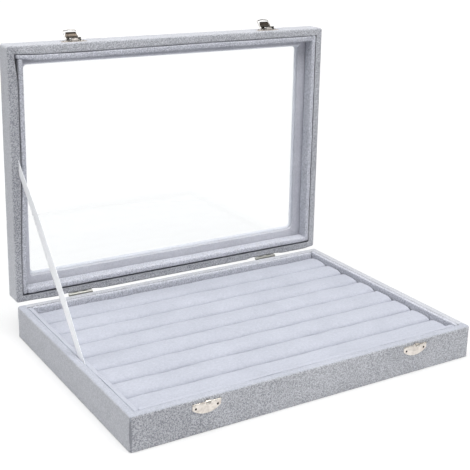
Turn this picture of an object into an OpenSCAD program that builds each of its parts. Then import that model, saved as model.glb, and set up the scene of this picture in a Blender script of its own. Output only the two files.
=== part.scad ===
// Ring display box: a shallow velvet-covered tray of eight padded ring rolls under a
// hinged lid with a glass window, two draw latches in front and a ribbon lid stay.
// Millimetres. Origin at the centre of the underside, +X along the width, -Y the front,
// +Z up. The lid is drawn closed and turned open about the hinge pins.

/* [Box] */
// Width over the velvet, left to right
box_w = 350; // [300:1:400]
// Depth over the velvet, front to back
box_d = 247; // [210:1:300]
// Height of the base
base_h = 31; // [29:0.5:45]
// Height of the lid
lid_h = 21; // [16.5:0.5:26]
// Radius of the upright corners
corner_r = 4; // [3.5:0.5:6]
// Radius of the soft outer edges
edge_r = 1.8; // [1.4:0.1:2.6]
// Gap between the two rims when the lid is shut
rim_gap = 0.3; // [0.3:0.1:0.8]
// Angle at which the ribbon stops the lid
open_angle = 90; // [60:1:100]

/* [Boards] */
// Thickness of the wall boards and lid rails
board_t = 5.5; // [5:0.25:7]
// Thickness of the floor panel
floor_t = 3; // [2:0.5:4]
// Thickness of the sheet glued under the floor
felt_t = 0.8; // [0.6:0.1:1.2]
// How far that sheet stops short of the outside
felt_inset = 1.5; // [1:0.5:6]
// Thickness of the velvet
velvet_t = 0.8; // [0.6:0.1:0.9]
// How far the velvet turns down inside the walls
fold_depth = 8; // [5:0.5:9]
// Gap between the skirt of the velvet and the table
skirt_gap = 0.4; // [0.2:0.1:0.6]

/* [Window] */
// Width of the lid's border around the glass
window_margin = 20.5; // [18:0.5:40]
// Corner radius of the window
window_r = 3; // [1:0.5:10]
// Thickness of the frame board over the glass
frame_t = 2.4; // [2:0.2:3]
// Thickness of the glass
glass_t = 2; // [1.5:0.1:2.4]
// Thickness of the covered card that holds the glass from inside
retainer_t = 1.5; // [1:0.1:2]
// Clearance round the glass and the card
glass_gap = 0.3; // [0.1:0.1:0.6]

/* [Lining] */
// Thickness of the padded lining strips
liner_t = 4; // [2:0.2:4.4]
// Slit between a lining strip and its wall, which takes the ribbon
liner_gap = 0.4; // [0.4:0.1:0.8]
// How far the lining stops short of the rim
liner_drop = 0.5; // [0.5:0.25:2]

/* [Ring rolls] */
// Number of padded rolls
roll_count = 8; // [5:1:9]
// Depth of the crests of the rolls below the rim
crest_drop = 4; // [3:0.5:7]
// Radius of the shoulders between which a ring is held
shoulder_r = 6; // [5:0.5:9]
// Thickness of the velvet sleeve of a roll
sleeve_t = 1.2; // [0.6:0.1:1.5]
// Gap between two rolls, and between sleeve and foam
roll_gap = 0.1; // [0.05:0.05:0.3]
// Gap between the ends of the rolls and the side lining
roll_end_gap = 0.9; // [0.5:0.1:3]
// Thickness of the card under the rolls
card_t = 1.2; // [0.8:0.1:2]

/* [Hinges] */
// Distance between the middles of the two hinges
hinge_span = 218; // [160:1:230]
// Length of a hinge
hinge_len = 25; // [20:1:35]
// Height of a hinge leaf from the pin
leaf_h = 11; // [9:0.5:12]
// Thickness of the hinge leaves
leaf_t = 0.6; // [0.5:0.1:0.8]
// Distance of the pin behind the back
hinge_offset = 1.7; // [1.7:0.1:2.2]
// Outer radius of the knuckles
knuckle_r = 1.4; // [1.3:0.05:1.4]
// Radius of the hinge pins
hinge_pin_r = 0.7; // [0.5:0.05:0.8]
// Radial running clearance of the pins
pin_clear = 0.05; // [0.03:0.01:0.08]
// Number of knuckles on a hinge
knuckle_count = 5; // [3:2:7]

/* [Latches] */
// Distance between the middles of the two latches
latch_span = 216; // [150:1:230]
// Thickness of the latch and strike plates
plate_t = 0.6; // [0.5:0.05:0.7]
// Width of a strike plate
strike_w = 26; // [24:0.5:32]
// Height of a strike plate
strike_h = 10; // [9:0.5:12]
// Distance of the strike plate's top edge below the base's rim
strike_drop = 3.8; // [3.4:0.1:4.6]
// Width of the strike's hook
hook_w = 4.2; // [3:0.2:6]
// Inner radius of the hook
hook_r = 1.3; // [1.2:0.05:1.6]
// Length of the hook's nose below its bend
hook_nose = 1.1; // [0.8:0.1:1.4]
// Width of a latch plate
latch_w = 24; // [22:0.5:30]
// Height of a latch plate
latch_h = 10; // [9:0.5:11]
// Distance of the latch plate above the lid's rim
latch_rise = 2.6; // [2.6:0.1:3]
// Width of the lever
lever_w = 12; // [10:0.5:14]
// Thickness of the lever's sheet
lever_t = 0.6; // [0.5:0.05:0.7]
// Distance of the lever's pin from the lid's front
pivot_out = 2.2; // [2.1:0.05:2.4]
// Distance between the lever's pin and the ends of the bail
bail_reach = 4.4; // [4:0.1:4.8]
// How much closer to the lid the ends of the bail lie than the pin
bail_tuck = 0.6; // [0.4:0.05:0.7]
// Radius of the latch pins
latch_pin_r = 0.55; // [0.4:0.05:0.6]
// Radius of the bail's wire
wire_r = 0.5; // [0.4:0.05:0.5]
// How far the middle of the bail's bar stands beyond its ends
bail_peak = 1.2; // [0.6:0.1:1.6]
// Angle of the bail from the lid's front when it stands free
bail_angle = 45; // [30:1:90]

/* [Nails] */
// Radius of the nail shanks
nail_r = 0.5; // [0.4:0.05:0.6]
// Radius of the nail heads
nail_head_r = 1; // [0.8:0.05:1.2]
// Height of the nail heads
nail_head_h = 0.4; // [0.3:0.05:0.6]
// Length of the nail shanks
nail_len = 5; // [4:0.25:5.5]
// Distance of the plate nails from the middle of a plate
plate_nail_x = 10; // [9:0.25:10.5]
// Distance of the hinge nails from the middle of a leaf
hinge_nail_x = 8; // [6:0.25:9]

/* [Ribbon stay] */
// Width of the ribbon
ribbon_w = 10; // [6:0.5:12]
// Thickness of the ribbon
ribbon_t = 0.2; // [0.1:0.05:0.2]
// Where the ribbon enters the base, measured forward of the middle
ribbon_base = 15; // [-10:1:30]
// Distance of the ribbon's lid end from the hinge pins
ribbon_reach = 136; // [110:1:150]
// Length of ribbon tucked into each slit
ribbon_tuck = 8; // [5:0.5:9]

/* [Hidden] */
$fn = 48;
cut = 1;                                   // overshoot of a cutting tool
far = 2 * (box_w + box_d);                 // larger than the whole box

// Insets from the outside of the velvet
board_in = velvet_t + board_t;             // inner face of the boards
wall_in = board_in + velvet_t;             // inner face of the turned-in velvet
liner_out = wall_in + liner_gap;           // outer face of the lining
room_in = liner_out + liner_t;             // the clear room inside the lining
inner_edge_r = edge_r * 0.64;              // the rim's rounding on its inner side

// Heights
floor_z = felt_t + floor_t;                // top of the floor panel
roll_z = floor_z + card_t;                 // underside of the rolls
crest_z = base_h - crest_drop;             // top of the rolls
liner_z = base_h - liner_drop;             // top of the base's lining
lid_z = base_h + rim_gap;                  // the lid's rim when it is shut
frame_v = lid_h - velvet_t - frame_t;      // underside of the frame board, from the lid's rim
glass_v = frame_v - glass_t;               // underside of the glass
retainer_v = glass_v - retainer_t;         // underside of the card that holds the glass

// Hinge axis
hinge_y = box_d / 2 + hinge_offset;
hinge_z = base_h + rim_gap / 2;
knuckle_w = hinge_len / knuckle_count;
knuckle_gap = 0.15;                        // slack between neighbouring knuckles
sweep_gap = 0.3;                           // room for a part that turns past another

// Rolls
roll_pitch = (box_d - 2 * room_in - 2 * roll_gap) / roll_count;
roll_w = roll_pitch - roll_gap;
roll_len = box_w - 2 * room_in - 2 * roll_end_gap;

// Latch geometry in the plane of the lid's front: u points out of it, v up from the lid's rim
pivot_v = latch_rise + 1;                  // height of the lever's pin
bail_u = pivot_out - bail_tuck;            // the bail's ends when the lever lies flat
bail_v = pivot_v + bail_reach;
latch_knuckle_r = latch_pin_r + 0.6;       // the rolled tongue that carries the pin
latch_knuckle_w = lever_w / 2;
cheek_t = 0.6;                             // thickness of the lever's side cheeks
cheek_gap = 0.1;                           // between a cheek and the bail
eye_bend = wire_r + 0.05;                  // bends of the bail's wire
corner_bend = 1.2;
peak_bend = 2;
leg_x = lever_w / 2 + cheek_gap + eye_bend; // the bail's legs
bar_clear = 0.15;                          // between the bail's bar and the hook
strike_z = base_h - strike_drop;           // top edge of the strike plate
hook_u = plate_t + hook_r;                 // middle of the hook's bend
bar_u = hook_u;                            // the bail's bar when it is hooked
bar_v = strike_z - lid_z + hook_r - wire_r - bar_clear - bail_peak * hook_w / 2 / leg_x;
bail_len = norm([bar_u - bail_u, bar_v - bail_v]);
hooked_angle = 180 - atan((bar_u - bail_u) / (bail_v - bar_v));
lever_lip_r = 5.5;                         // radius of the lever's turned-out lip
lever_lip_angle = 80;                      // how far the lip turns
lever_root = [latch_knuckle_r + 0.65, -1];  // the lever's lower edge, from its pin
lever_waist = [1, 4.2];                    // where the lip begins, from its pin

// Ribbon: it runs straight from the slit in the base to the slit in the lid
ribbon_x = -(box_w / 2 - wall_in - liner_gap / 2);
ribbon_low = [-ribbon_base, liner_z];
ribbon_high = opened_point([hinge_y - ribbon_reach, lid_z]);
ribbon_dir = (ribbon_high - ribbon_low) / norm(ribbon_high - ribbon_low);

// Where a point [y, z] of the shut lid lies when the lid is open
function opened_point(p) = [
    hinge_y + (p[0] - hinge_y) * cos(open_angle) + (p[1] - hinge_z) * sin(open_angle),
    hinge_z - (p[0] - hinge_y) * sin(open_angle) + (p[1] - hinge_z) * cos(open_angle)
];

// Point on a circle about the origin
function on_circle(r, a) = [r * cos(a), r * sin(a)];

// ---- shared shapes ----

module opened() {
    translate([0, hinge_y, hinge_z]) rotate([-open_angle, 0, 0])
        translate([0, -hinge_y, -hinge_z]) children();
}

// Rectangle with round corners, centred
module round_rect(w, d, r) {
    square([w - 2 * r, d], center = true);
    square([w, d - 2 * r], center = true);
    for (sx = [-1, 1], sy = [-1, 1])
        translate([sx * (w / 2 - r), sy * (d / 2 - r)]) circle(r);
}

// Bar from x0 to x1 and y0 to y1, its two upper corners rounded by r0 and r1
module round_top(x0, x1, y0, y1, r0, r1) {
    translate([x0, y0]) square([x1 - x0, y1 - max(r0, r1) - y0]);
    translate([x0 + r0, y0]) square([x1 - x0 - r0 - r1, y1 - y0]);
    translate([x0 + r0, y1 - r0]) circle(r0);
    translate([x1 - r1, y1 - r1]) circle(r1);
    if (r0 < r1) translate([x0, y0]) square([r0, y1 - r0 - y0]);
    if (r1 < r0) translate([x1 - r1, y0]) square([r1, y1 - r1 - y0]);
}

// Carries a profile round the box; its x runs outward from the corner centres, its y is height
module swept_frame() {
    for (k = [0 : 3]) rotate([0, 0, k * 90]) {
        span = (k % 2 == 0 ? box_w : box_d) / 2 - corner_r;
        run = (k % 2 == 0 ? box_d : box_w) / 2 - corner_r;
        translate([span, run, 0]) rotate([90, 0, 0]) linear_extrude(2 * run) children();
        translate([span, run, 0]) rotate_extrude(angle = 90) intersection() {
            children();
            translate([0, -far]) square([far, 2 * far]);
        }
    }
}

// Plan of one wall's board; side 0 is the front, 1 the back, 2 the left, 3 the right
module board_plan(side) {
    w = box_w - 2 * velvet_t;
    d = box_d - 2 * velvet_t;
    if (side < 2) intersection() {
        round_rect(w, d, corner_r - velvet_t);
        translate([0, (side == 0 ? -1 : 1) * (d - board_t) / 2]) square([w, board_t], center = true);
    } else {
        translate([(side == 2 ? -1 : 1) * (w - board_t) / 2, 0])
            square([board_t, d - 2 * board_t], center = true);
    }
}

// Plan of one lining strip; the side strips run the full depth of the room
module liner_plan(side) {
    if (side < 2) translate([0, (side == 0 ? -1 : 1) * (box_d / 2 - liner_out - liner_t / 2)])
        square([box_w - 2 * room_in - 2 * roll_gap, liner_t], center = true);
    else translate([(side == 2 ? -1 : 1) * (box_w / 2 - liner_out - liner_t / 2), 0])
        square([liner_t, box_d - 2 * liner_out], center = true);
}

// Padded strip on a plan, its edge at the open end rounded; low and high are its ends
module liner_strip(side, low, high) {
    translate([0, 0, low]) linear_extrude(high - low) liner_plan(side);
}

// Nail standing on y = 0 with its point towards +Y
module nail(seat) {
    rotate([-90, 0, 0]) translate([0, 0, -seat]) {
        cylinder(r = nail_r, h = nail_len);
        intersection() {
            translate([0, 0, -nail_head_h]) cylinder(r = nail_head_r, h = nail_head_h);
            dome_r = (nail_head_r * nail_head_r + nail_head_h * nail_head_h) / 2 / nail_head_h;
            translate([0, 0, dome_r - nail_head_h]) sphere(dome_r, $fn = 64);
        }
    }
}

// ---- base ----

module base_board(side) {
    color("burlywood") translate([0, 0, felt_t])
        linear_extrude(base_h - velvet_t - felt_t) board_plan(side);
}

module base_floor_panel() {
    color("tan") translate([-box_w / 2 + board_in, -box_d / 2 + board_in, felt_t])
        cube([box_w - 2 * board_in, box_d - 2 * board_in, floor_t]);
}

module underside_felt() {
    color([0.55, 0.56, 0.6]) linear_extrude(felt_t)
        round_rect(box_w - 2 * felt_inset, box_d - 2 * felt_inset, corner_r - felt_inset);
}

// What the velvet is wrapped round: the four boards, from low to high
module board_ring(low, high) {
    translate([0, 0, low]) linear_extrude(high - low) difference() {
        round_rect(box_w - 2 * velvet_t, box_d - 2 * velvet_t, corner_r - velvet_t);
        square([box_w - 2 * board_in, box_d - 2 * board_in], center = true);
    }
}

// The room between the boards, from low to high
module board_room(low, high) {
    translate([-box_w / 2 + board_in, -box_d / 2 + board_in, low])
        cube([box_w - 2 * board_in, box_d - 2 * board_in, high - low]);
}

module base_velvet_cover() {
    color([0.71, 0.73, 0.76]) difference() {
        swept_frame() round_top(corner_r - wall_in, corner_r, skirt_gap, base_h, inner_edge_r, edge_r);
        board_ring(-cut, base_h - velvet_t);
        board_room(-cut, base_h - fold_depth);
    }
}

module base_liner(side) {
    color([0.8, 0.82, 0.87]) liner_strip(side, floor_z, liner_z);
}

module roll_tray_card() {
    color([0.75, 0.77, 0.82])
        translate([-box_w / 2 + room_in + roll_gap, -box_d / 2 + room_in + roll_gap, floor_z])
            cube([box_w - 2 * room_in - 2 * roll_gap, box_d - 2 * room_in - 2 * roll_gap, card_t]);
}

// Section of a roll drawn in from its outside by some thickness
module roll_section(inset) {
    round_top(-roll_w / 2 + inset, roll_w / 2 - inset, roll_z + inset, crest_z - inset,
              shoulder_r - inset, shoulder_r - inset);
}

// Lays a section along X at the place of roll number k, counted from the front
module along_roll(k, length) {
    y = (k - (roll_count + 1) / 2) * roll_pitch;
    translate([-length / 2, y, 0]) rotate([90, 0, 90]) linear_extrude(length) children();
}

module ring_roll(k) {
    if (k <= roll_count) color([0.84, 0.86, 0.91]) along_roll(k, roll_len) difference() {
        roll_section(0);
        roll_section(sleeve_t);
    }
}

module roll_foam_cores() {
    color([0.93, 0.93, 0.9]) for (k = [1 : roll_count])
        along_roll(k, roll_len - 2 * sleeve_t) roll_section(sleeve_t + roll_gap);
}

// ---- hinges ----

// One leaf lying against the back, drawn above the pin; turn = 1 for the lid's, -1 for the base's
module hinge_leaf(turn) {
    own = turn < 0 ? 0 : 1;                // the base's leaf has the outer knuckles
    color([0.78, 0.76, 0.7]) difference() {
        union() {
            translate([-hinge_len / 2, box_d / 2, turn > 0 ? hinge_z : hinge_z - leaf_h])
                cube([hinge_len, leaf_t, leaf_h]);
            for (k = [own : 2 : knuckle_count - 1])
                translate([-hinge_len / 2 + k * knuckle_w + knuckle_gap / 2, hinge_y, hinge_z])
                    rotate([0, 90, 0]) cylinder(r = knuckle_r, h = knuckle_w - knuckle_gap);
        }
        for (k = [1 - own : 2 : knuckle_count - 1])
            translate([-hinge_len / 2 + k * knuckle_w - knuckle_gap / 2, box_d / 2 - cut,
                       hinge_z - knuckle_r - sweep_gap])
                cube([knuckle_w + knuckle_gap, leaf_t + 2 * cut, 2 * (knuckle_r + sweep_gap)]);
        translate([-hinge_len / 2 - cut, hinge_y, hinge_z]) rotate([0, 90, 0])
            cylinder(r = hinge_pin_r + pin_clear, h = hinge_len + 2 * cut);
        for (s = [-1, 1]) translate([s * hinge_nail_x, box_d / 2 - cut, hinge_z + turn * leaf_h * 0.6])
            rotate([-90, 0, 0]) cylinder(r = nail_r + pin_clear, h = leaf_t + 2 * cut);
    }
}

module hinge_nails(turn) {
    color([0.5, 0.48, 0.45]) for (h = [-1, 1], s = [-1, 1])
        translate([h * hinge_span / 2 + s * hinge_nail_x, box_d / 2, hinge_z + turn * leaf_h * 0.6])
            mirror([0, 1, 0]) nail(leaf_t);
}

module hinge_pin() {
    color([0.7, 0.68, 0.62]) translate([-hinge_len / 2, hinge_y, hinge_z]) rotate([0, 90, 0])
        cylinder(r = hinge_pin_r, h = hinge_len);
}

// ---- latches ----

// Turns the plane (u out, v up from the lid's rim) and an X extrusion into the box's axes
module on_front(rim_z) {
    translate([0, -box_d / 2, rim_z]) children();
}

// Sheet profile in the plane (u, v), as wide as w along X
module across(w) {
    translate([-w / 2, 0, 0]) rotate([90, 0, 90]) linear_extrude(w) mirror([1, 0]) children();
}

// D-shaped plate with its straight edge at v = 0 and its bulge towards dir
module plate_outline(w, h, dir) {
    side = h * 0.52;                       // height of the straight ends
    bulge = h - side;
    r = (w * w / 4 + bulge * bulge) / 2 / bulge;
    intersection() {
        translate([0, dir * (h - r)]) circle(r, $fn = 96);
        translate([-w / 2, dir > 0 ? 0 : -h]) square([w, h]);
    }
}

// Plate outline raised to a sheet on the front face
module plate_sheet(w, h, dir) {
    rotate([90, 0, 0]) linear_extrude(plate_t) plate_outline(w, h, dir);
}

// Section of the hook: up from the plate's edge, over and down to the nose
module hook_section() {
    difference() {
        translate([hook_u, 0]) circle(hook_r + plate_t);
        translate([hook_u, 0]) circle(hook_r);
        translate([-far / 2, -far]) square([far, far]);
    }
    translate([0, -2 * plate_t]) square([plate_t, 2 * plate_t]);
    translate([hook_u + hook_r, -hook_nose]) square([plate_t, hook_nose]);
}

module strike_plate() {
    slit_w = 1;                            // slits that free the hook from the plate
    bead_x = hook_w / 2 + slit_w;          // the beads stop beside the hook
    color([0.85, 0.81, 0.74]) on_front(strike_z) difference() {
        union() {
            plate_sheet(strike_w, strike_h, -1);
            across(hook_w) hook_section();
            for (s = [-1, 1]) translate([s > 0 ? bead_x : -strike_w / 2, -plate_t, -plate_t])
                rotate([0, 90, 0]) cylinder(r = plate_t, h = strike_w / 2 - bead_x);
        }
        for (s = [-1, 1]) {
            translate([s * plate_nail_x, cut, -strike_h * 0.45]) rotate([90, 0, 0])
                cylinder(r = nail_r + pin_clear, h = plate_t + 2 * cut);
            translate([s > 0 ? hook_w / 2 : -bead_x, -plate_t - cut, -1.6])
                cube([slit_w, plate_t + 2 * cut, 1.6 + cut]);
        }
        translate([-far / 2, 0, -far / 2]) cube([far, far, far]);
    }
}

module strike_nails() {
    color([0.3, 0.28, 0.26]) for (h = [-1, 1], s = [-1, 1])
        translate([h * latch_span / 2 + s * plate_nail_x, -box_d / 2, strike_z - strike_h * 0.45])
            nail(plate_t);
}

module latch_plate() {
    color([0.85, 0.81, 0.74]) on_front(lid_z) difference() {
        union() {
            translate([0, 0, latch_rise]) plate_sheet(latch_w, latch_h, 1);
            across(latch_knuckle_w) {
                translate([pivot_out, pivot_v]) circle(latch_knuckle_r);
                translate([0, latch_rise]) square([pivot_out, pivot_v - latch_rise]);
            }
        }
        translate([-lever_w, -pivot_out, pivot_v]) rotate([0, 90, 0])
            cylinder(r = latch_pin_r + pin_clear, h = 2 * lever_w);
        for (s = [-1, 1]) translate([s * plate_nail_x, cut, latch_rise + latch_h * 0.4])
            rotate([90, 0, 0]) cylinder(r = nail_r + pin_clear, h = plate_t + 2 * cut);
    }
}

module latch_plate_nails() {
    color([0.3, 0.28, 0.26]) for (h = [-1, 1], s = [-1, 1])
        translate([h * latch_span / 2 + s * plate_nail_x, -box_d / 2, lid_z + latch_rise + latch_h * 0.4])
            nail(plate_t);
}

module latch_pin() {
    color([0.6, 0.58, 0.53]) on_front(lid_z) translate([-lever_w / 2, -pivot_out, pivot_v])
        rotate([0, 90, 0]) cylinder(r = latch_pin_r, h = lever_w);
}

// Strip of sheet along an arc about the origin
module arc_strip(r, t, a0, a1) {
    steps = 14;
    polygon([
        for (k = [0 : steps]) on_circle(r + t / 2, a0 + (a1 - a0) * k / steps),
        for (k = [steps : -1 : 0]) on_circle(r - t / 2, a0 + (a1 - a0) * k / steps)
    ]);
}

// Straight strip of sheet between two points of its middle line
module straight_strip(p, q, t) {
    run = q - p;
    side = [-run[1], run[0]] / norm(run) * t / 2;
    polygon([p + side, q + side, q - side, p - side]);
}

// Lever sheet about its pin: down over the knuckle, in to the waist and out to the lip
module lever_section() {
    lip = lever_waist + [lever_lip_r, 0];
    straight_strip(lever_root, lever_waist, lever_t);
    translate(lever_root) circle(lever_t / 2);
    translate(lever_waist) circle(lever_t / 2);
    translate(lip) arc_strip(lever_lip_r, lever_t, 180, 180 - lever_lip_angle);
    translate(lip + on_circle(lever_lip_r, 180 - lever_lip_angle)) circle(lever_t / 2);
}

// Side cheek about the lever's pin, with the eyes of the pin and of the bail
module cheek_section() {
    difference() {
        union() {
            circle(pivot_out - plate_t - 0.2);
            translate([-bail_tuck, bail_reach]) circle(bail_u - plate_t - 0.15);
            polygon([[-bail_tuck, 0], lever_root + [0, 0.4], lever_waist,
                     [lever_waist[0], bail_reach], [-bail_tuck, bail_reach]]);
        }
        circle(latch_pin_r + pin_clear);
        translate([-bail_tuck, bail_reach]) circle(wire_r + pin_clear);
    }
}

module latch_lever() {
    tip_v = lever_waist[1] + lever_lip_r * sin(lever_lip_angle) + lever_t;
    color([0.8, 0.77, 0.7]) on_front(lid_z) translate([0, -pivot_out, pivot_v]) {
        intersection() {
            across(lever_w) lever_section();
            translate([0, far / 2, 0]) rotate([90, 0, 0]) linear_extrude(far)
                translate([0, (tip_v - lever_w) / 2]) round_rect(lever_w, tip_v + lever_w, 3);
        }
        for (s = [-1, 1]) translate([s * (lever_w - cheek_t) / 2, 0, 0]) across(cheek_t) cheek_section();
    }
}

// Points along a bend of the wire from one corner's cut to the other
function wire_arc(center, r, from, to, steps) =
    [for (k = [0 : steps]) center + on_circle(r, from + (to - from) * k / steps)];

// Right half of the bail's middle line, [x, up], from the middle of its bar to its eye
function bail_line() =
    let (slope = atan(bail_peak / leg_x), turn = 90 - slope, corner = bail_len - bail_peak,
         corner_cut = corner_bend * tan(turn / 2), eye = lever_w / 2 - cheek_t - 0.3)
    concat(
        wire_arc([0, bail_len - peak_bend / cos(slope)], peak_bend, 90, 90 - slope, 2),
        wire_arc([leg_x - corner_bend, corner - corner_cut], corner_bend, turn, 0, 5),
        wire_arc([leg_x - eye_bend, eye_bend], eye_bend, 0, -90, 5),
        [[eye, 0]]
    );

// Round wire swept along a line in the XZ plane
module swept_wire(line) {
    sides = 12;
    last = len(line) - 1;
    unit = [for (k = [0 : last - 1]) (line[k + 1] - line[k]) / norm(line[k + 1] - line[k])];
    along = [for (k = [0 : last]) unit[max(0, k - 1)] + unit[min(k, last - 1)]];
    points = [
        for (k = [0 : last], j = [0 : sides - 1])
            let (across = [-along[k][1], along[k][0]] * 2 / (along[k] * along[k]),
                 place = line[k] + across * wire_r * cos(360 * j / sides))
            [place[0], wire_r * sin(360 * j / sides), place[1]]
    ];
    polyhedron(points, concat(
        [[for (j = [0 : sides - 1]) j]],
        [[for (j = [sides - 1 : -1 : 0]) last * sides + j]],
        [for (k = [0 : last - 1], j = [0 : sides - 1], half = [0, 1])
            let (a = k * sides + j, b = k * sides + (j + 1) % sides)
            half == 0 ? [a, a + sides, b + sides] : [a, b + sides, b]]
    ), convexity = 4);
}

module latch_bail() {
    half = bail_line();
    other = [for (k = [len(half) - 1 : -1 : 1]) [-half[k][0], half[k][1]]];
    color([0.8, 0.78, 0.72]) on_front(lid_z) translate([0, -bail_u, bail_v]) rotate([bail_angle, 0, 0])
        swept_wire(concat(other, half));
}

// ---- ribbon ----

module stay_ribbon() {
    low = ribbon_low - ribbon_dir * ribbon_tuck;
    high = ribbon_high + ribbon_dir * ribbon_tuck;
    color([0.96, 0.96, 0.97]) translate([ribbon_x - ribbon_t / 2, 0, 0]) rotate([90, 0, 90])
        linear_extrude(ribbon_t) straight_strip(low, high, ribbon_w);
}

// ---- lid ----

module lid_rail(side) {
    color("burlywood") opened() translate([0, 0, lid_z + velvet_t])
        linear_extrude(frame_v - velvet_t) board_plan(side);
}

// Window shape drawn in or out by some amount
module window_plan(grow) {
    round_rect(box_w - 2 * window_margin + 2 * grow, box_d - 2 * window_margin + 2 * grow,
               window_r + grow);
}

module window_frame() {
    color("burlywood") opened() translate([0, 0, lid_z + frame_v]) linear_extrude(frame_t)
        difference() {
            round_rect(box_w - 2 * velvet_t, box_d - 2 * velvet_t, corner_r - velvet_t);
            window_plan(velvet_t);
        }
}

// Rectangle that drops between the lid's rails
module pane_plan() {
    square([box_w - 2 * (board_in + glass_gap), box_d - 2 * (board_in + glass_gap)], center = true);
}

module glass_pane() {
    color([0.85, 0.93, 0.95, 0.3]) opened() translate([0, 0, lid_z + glass_v])
        linear_extrude(glass_t) pane_plan();
}

module glass_retainer_frame() {
    color([0.68, 0.69, 0.73]) opened() translate([0, 0, lid_z + retainer_v])
        linear_extrude(retainer_t) difference() {
            pane_plan();
            window_plan(0);
        }
}

// Velvet of the lid: rim and outside as on the base, then over the frame to the glass
module lid_velvet_cover() {
    skin_v = lid_h - velvet_t;
    color([0.7, 0.72, 0.76]) opened() translate([0, 0, lid_z]) {
        difference() {
            swept_frame() intersection() {
                translate([0, lid_h]) mirror([0, 1])
                    round_top(corner_r - wall_in, corner_r, 0, lid_h, inner_edge_r, edge_r);
                round_top(corner_r - wall_in, corner_r, 0, lid_h, 0.01, edge_r);
            }
            board_ring(velvet_t, skin_v);
            board_room(fold_depth, lid_h + cut);
        }
        translate([0, 0, skin_v]) linear_extrude(velvet_t) difference() {
            square([box_w - 2 * board_in, box_d - 2 * board_in], center = true);
            window_plan(0);
        }
        translate([0, 0, frame_v]) linear_extrude(lid_h - frame_v) difference() {
            window_plan(velvet_t);
            window_plan(0);
        }
    }
}

module lid_liner(side) {
    color([0.7, 0.72, 0.77]) opened() liner_strip(side, lid_z + liner_drop, lid_z + retainer_v);
}

base_board(0);  // base_front_board
base_board(1);  // base_back_board
base_board(2);  // base_left_board
base_board(3);  // base_right_board
base_floor_panel();
underside_felt();
base_velvet_cover();
base_liner(0);  // base_liner_front
base_liner(1);  // base_liner_back
base_liner(2);  // base_liner_left
base_liner(3);  // base_liner_right
roll_tray_card();
ring_roll(1);  // ring_roll_1
ring_roll(2);  // ring_roll_2
ring_roll(3);  // ring_roll_3
ring_roll(4);  // ring_roll_4
ring_roll(5);  // ring_roll_5
ring_roll(6);  // ring_roll_6
ring_roll(7);  // ring_roll_7
ring_roll(8);  // ring_roll_8
roll_foam_cores();
translate([-hinge_span / 2, 0, 0]) hinge_leaf(-1);  // hinge_base_leaf_left
translate([hinge_span / 2, 0, 0]) hinge_leaf(-1);  // hinge_base_leaf_right
translate([-hinge_span / 2, 0, 0]) hinge_pin();  // hinge_pin_left
translate([hinge_span / 2, 0, 0]) hinge_pin();  // hinge_pin_right
hinge_nails(-1);  // base_hinge_nails
translate([-latch_span / 2, 0, 0]) strike_plate();  // strike_plate_left
translate([latch_span / 2, 0, 0]) strike_plate();  // strike_plate_right
strike_nails();
stay_ribbon();
lid_rail(0);  // lid_front_rail
lid_rail(1);  // lid_back_rail
lid_rail(2);  // lid_left_rail
lid_rail(3);  // lid_right_rail
window_frame();
glass_pane();
glass_retainer_frame();
lid_velvet_cover();
lid_liner(0);  // lid_liner_front
lid_liner(1);  // lid_liner_back
lid_liner(2);  // lid_liner_left
lid_liner(3);  // lid_liner_right
opened() translate([-hinge_span / 2, 0, 0]) hinge_leaf(1);  // hinge_lid_leaf_left
opened() translate([hinge_span / 2, 0, 0]) hinge_leaf(1);  // hinge_lid_leaf_right
opened() hinge_nails(1);  // lid_hinge_nails
opened() translate([-latch_span / 2, 0, 0]) latch_plate();  // latch_plate_left
opened() translate([latch_span / 2, 0, 0]) latch_plate();  // latch_plate_right
opened() latch_plate_nails();
opened() translate([-latch_span / 2, 0, 0]) latch_pin();  // latch_pin_left
opened() translate([latch_span / 2, 0, 0]) latch_pin();  // latch_pin_right
opened() translate([-latch_span / 2, 0, 0]) latch_lever();  // latch_lever_left
opened() translate([latch_span / 2, 0, 0]) latch_lever();  // latch_lever_right
opened() translate([-latch_span / 2, 0, 0]) latch_bail();  // latch_bail_left
opened() translate([latch_span / 2, 0, 0]) latch_bail();  // latch_bail_right
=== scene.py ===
# Ring display box: velvet over boards, padded rolls, a glass-window lid on two hinges,
# a ribbon stay and two draw latches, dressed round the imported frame. Metres.
import math

import bmesh
import bpy
import numpy as np
from mathutils import Matrix, Vector


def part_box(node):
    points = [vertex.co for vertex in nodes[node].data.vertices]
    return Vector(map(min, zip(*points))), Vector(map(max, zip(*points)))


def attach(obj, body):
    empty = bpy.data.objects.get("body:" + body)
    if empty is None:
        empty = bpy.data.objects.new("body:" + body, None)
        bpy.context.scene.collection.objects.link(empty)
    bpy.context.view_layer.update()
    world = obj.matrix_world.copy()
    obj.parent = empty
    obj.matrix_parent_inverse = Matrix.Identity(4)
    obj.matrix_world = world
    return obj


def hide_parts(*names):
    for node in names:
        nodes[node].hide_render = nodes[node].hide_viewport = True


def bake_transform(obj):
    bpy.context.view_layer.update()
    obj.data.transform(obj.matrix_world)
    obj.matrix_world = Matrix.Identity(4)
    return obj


MM = 0.001
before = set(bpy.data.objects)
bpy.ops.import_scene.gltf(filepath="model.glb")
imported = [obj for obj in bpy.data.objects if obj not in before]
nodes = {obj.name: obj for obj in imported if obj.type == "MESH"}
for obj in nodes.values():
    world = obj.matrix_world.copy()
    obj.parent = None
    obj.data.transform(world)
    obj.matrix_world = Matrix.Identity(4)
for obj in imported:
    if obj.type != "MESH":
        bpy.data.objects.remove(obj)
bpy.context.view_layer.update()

# ---- Studio ----
# A white surround that shows behind the box and in its metal, a wide lamp overhead, a fill
# beside the viewer, a lamp at the left, and a floor that is white but keeps the box's shadow.
# The camera stands before the left half of the box and looks down on it a little.


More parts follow.
